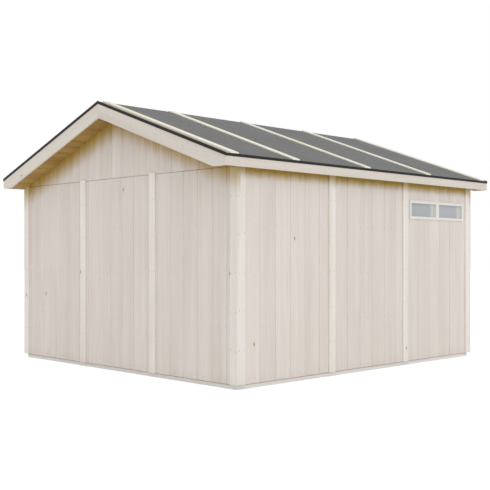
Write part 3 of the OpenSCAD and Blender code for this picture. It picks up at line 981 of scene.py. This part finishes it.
# %% Nail row tree
def nail_row_tree():
    tree, given, out = new_tree("Nail row", "GeometryNodeTree", [
        ("First", "Vector", (0, 0, 0)), ("Step", "Vector", (0, 0, 1)), ("Count", "Int", 2),
        ("Facing", "Vector", (0, 0, 0)), ("Head Radius", "Float", 0.0035),
        ("Wander", "Float", 0.004), ("Seed", "Int", 1), ("Finish", "Material", None)],
        [("Geometry", "Geometry")])
    tree.is_modifier = True
    row = add(tree, "GeometryNodeMeshLine", {
        "Count": given["Count"], "Start Location": given["First"], "Offset": given["Step"]})
    stray = add(tree, "FunctionNodeRandomValue", {
        "Min": (-1, -1, -1), "Max": (1, 1, 1), "Seed": given["Seed"]}, data_type="FLOAT_VECTOR")
    wander = times(tree, split(tree, stray.outputs[0])[0], given["Wander"])
    step = add(tree, "ShaderNodeVectorMath", {0: given["Step"]}, operation="NORMALIZE").outputs[0]
    slide = add(tree, "ShaderNodeVectorMath", {0: step, 3: wander}, operation="SCALE").outputs[0]
    nail = add(tree, "GeometryNodeMeshCylinder", {
        "Vertices": 10, "Radius": given["Head Radius"], "Depth": 0.003}).outputs["Mesh"]
    # The head's upper rim is drawn in, which makes a low crown
    x, y, z = here(tree)
    crown = times(tree, calc(tree, "GREATER_THAN", z, 0.0), -0.2)
    crown = vector(tree, times(tree, x, crown), times(tree, y, crown), 0.0)
    facing = add(tree, "FunctionNodeEulerToRotation", {0: given["Facing"]}).outputs[0]
    nails = add(tree, "GeometryNodeInstanceOnPoints", {
        "Points": move(tree, row.outputs[0], Offset=slide),
        "Instance": move(tree, nail, Offset=crown), "Rotation": facing}).outputs[0]
    return close_tree(tree, nails, given["Finish"], out)


nail_rule = nail_row_tree()
print("nail row tree:", len(nail_rule.nodes), "nodes")

# %% Nails in the walls
NAIL_FACES = 12
COVER_PAIR, COVER_FIRST, COVER_STEP = 0.034, 0.37, 0.363
BOARD_PAIR, BOARD_SINK = 0.06, 0.0006
RAIL_LEVELS, WINDOW_LEVEL = (0.085, 0.58, 1.07, 1.56, 2.06), 1.56


def nail_row(first, step, outward, count=5, wander=0.02, radius=0.0035):
    return {"First": tuple(first), "Step": tuple(step), "Count": count, "Wander": wander,
            "Facing": tuple(outward.to_track_quat("Z", "Y").to_euler()), "Head Radius": radius}


def nail_piece(name, rows, slot):
    parts = (grown(nail_rule, dict(row, Seed=count + len(name), Finish=nail_zinc))
             for count, row in enumerate(rows))
    return place_joined(name, parts, nail_zinc, slot)


nails_made = 0
for wall in WALLS:
    angle, along, outward = wall_axes(wall)
    gable = wall in ("front", "back")
    face, seam = (half_length, gable_seam) if gable else (half_width, side_seam)
    corner = (half_width if gable else gable_out) - TRIM_WIDTH / 2
    rows = []
    for middle in (-corner, -seam, seam, corner):
        for offset in (-COVER_PAIR, COVER_PAIR):
            first = along * (middle + offset) + outward * face + Z * COVER_FIRST
            rows.append(nail_row(first, Z * COVER_STEP, outward, wander=0.012))
    clad_face = (gable_out if gable else side_out) - BOARD_SINK
    panel_width = 2 * seam
    pitch = panel_width / PANEL_BOARDS
    for level in RAIL_LEVELS:
        for panel in (-1, 0, 1):
            # At this level the window fills the back panel of each side wall
            if not gable and level == WINDOW_LEVEL and along.y * panel > 0.5:
                continue
            for offset in (-BOARD_PAIR, BOARD_PAIR):
                middle = panel * panel_width - 2.5 * pitch + offset
                first = along * middle + outward * clad_face + Z * level
                rows.append(nail_row(first, along * pitch, outward, PANEL_BOARDS, 0.006, 0.0028))
    piece = nail_piece(f"{wall}_wall_nails", rows, "trim")
    nails_made += len(piece.data.polygons) // NAIL_FACES
print("wall nails:", nails_made)

# %% Nails in the roof trim
BATTEN_PAIR, BATTEN_FIRST, BATTEN_STEP = 0.03, 0.12, 0.46
FASCIA_UP, FASCIA_FIRST, FASCIA_STEP = 0.045, 0.15, 0.6
BARGE_DOWN, BARGE_FIRST, BARGE_STEP = 0.07, 0.2, 0.42
rows = []
for sign in (1, -1):
    down, up = slope_axes(sign)
    start = Vector((0, 0, felt_top(0) + batten_rise)) + down * BATTEN_FIRST
    for head, foot in battens:
        step = down * BATTEN_STEP + Y * (foot - head) * BATTEN_STEP / (eave * PLUMB)
        for offset in (-BATTEN_PAIR, BATTEN_PAIR):
            rows.append(nail_row(start + Y * (head + offset), step, up, wander=0.01))
    first = Vector((sign * eave, fascia_low.y + FASCIA_FIRST, fascia_low.z + FASCIA_UP))
    rows.append(nail_row(first, Y * FASCIA_STEP, X * sign, count=8))
    for end in (-1, 1):
        first = Vector((0, end * verge, ridge_under - BARGE_DOWN * PLUMB)) + down * BARGE_FIRST
        rows.append(nail_row(first, down * BARGE_STEP, Y * end))
roof_nails = nail_piece("roof_trim_nails", rows, "roof_battens")
print("roof nails:", len(roof_nails.data.polygons) // NAIL_FACES)

# %% [markdown]
# ## Timber that stays as the frame has it
# The studs, rails, rafters and ties are plain square timbers inside, so their shapes are
# kept and only their finish is given. The grain is turned to run along each kind. The
# panes keep their shape too.

# %% Finish the kept nodes
KEPT = {
    "gable_wall_studs": upright_frame, "side_wall_studs": upright_frame,
    "gable_wall_rails": cross_frame, "side_wall_rails": long_frame,
    "rafters_left": cross_frame, "rafters_right": cross_frame, "roof_ties": cross_frame,
    "window_glass": pane_glass,
}
for node_name, finish in KEPT.items():
    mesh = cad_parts[node_name].data
    mesh.materials.clear()
    mesh.materials.append(finish)
print("kept nodes:", len(KEPT))

# %% [markdown]
# ## Floor, light and camera
# The garage stands on a plain white floor in an even studio light: a bright world all
# round and one broad soft lamp from the right. Where the camera sees the floor or the
# world directly they are white, and the floor still darkens where the garage shades it.

# %% Floor
FLOOR_GREY, FLOOR_GLOW, REACH = 0.86, 0.45, 60.0


def seen_directly(tree):
    seen = add(tree, "ShaderNodeLightPath").outputs
    return calc(tree, "MAXIMUM", seen["Is Camera Ray"], calc(
        tree, "MAXIMUM", seen["Is Glossy Ray"], seen["Is Transmission Ray"]))


def floor_finish():
    material, tree, surface = new_material("Studio floor")
    tree.nodes.remove(surface)
    matt = add(tree, "ShaderNodeBsdfDiffuse", {"Color": (FLOOR_GREY, FLOOR_GREY, FLOOR_GREY, 1)})
    lift = times(tree, seen_directly(tree), FLOOR_GLOW)
    glow = add(tree, "ShaderNodeEmission", {"Color": (1, 1, 1, 1), "Strength": lift})
    both = add(tree, "ShaderNodeAddShader", {0: matt.outputs[0], 1: glow.outputs[0]})
    tree.links.new(both.outputs[0], tree.nodes["Material Output"].inputs["Surface"])
    return material


corners = [(x * REACH, y * REACH, -0.001) for x, y in ((-1, -1), (1, -1), (1, 1), (-1, 1))]
floor_mesh = bpy.data.meshes.new("floor")
floor_mesh.from_pydata(corners, [], [(0, 1, 2, 3)])
floor_mesh.materials.append(floor_finish())
floor = bpy.data.objects.new("floor", floor_mesh)
scene.collection.objects.link(floor)
floor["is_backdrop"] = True
print("floor", 2 * REACH, "m square")

# %% Light
WORLD_LEVEL = 0.86
world = bpy.data.worlds.new("Studio")
scene.world = world
world.use_nodes = True
sky = world.node_tree
sky.nodes.clear()
strength = calc(sky, "MULTIPLY_ADD", seen_directly(sky), 1.0 - WORLD_LEVEL, WORLD_LEVEL)
background = add(sky, "ShaderNodeBackground", {"Color": (1, 1, 1, 1), "Strength": strength})
add(sky, "ShaderNodeOutputWorld", {"Surface": background.outputs[0]})

lamp = bpy.data.lights.new("Soft lamp", "SUN")
lamp.energy = 0.45
lamp.angle = math.radians(50)
lamp_object = bpy.data.objects.new("Soft lamp", lamp)
scene.collection.objects.link(lamp_object)
lamp_object.rotation_euler = Vector((0.8, -0.3, 0.5)).to_track_quat("Z", "Y").to_euler()
print("world", WORLD_LEVEL, "lamp", lamp.energy)

# %% Camera
camera_data = bpy.data.cameras.new("Camera")
camera_data.sensor_width = 36.0
camera_data.lens = 64.52
camera_data.shift_y = 0.01906
camera_data.clip_end = 200.0
camera = bpy.data.objects.new("Camera", camera_data)
scene.collection.objects.link(camera)
camera.location = (7.7818, -7.6941, 1.2698)
camera.rotation_euler = (math.pi / 2, 0, math.radians(45.569))
scene.camera = camera
scene.view_settings.view_transform = "Standard"
print("camera", [round(v, 2) for v in camera.location], camera_data.lens, "mm")

# %% [markdown]
# ## Size
# The last step measures the visual model's box, counts its triangles and prints both.

# %% Size
low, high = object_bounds()
triangles = sum(len(p.vertices) - 2 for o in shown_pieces() for p in o.data.polygons)
print("visual box", [round(v, 3) for v in high - low], "m,", triangles, "triangles")
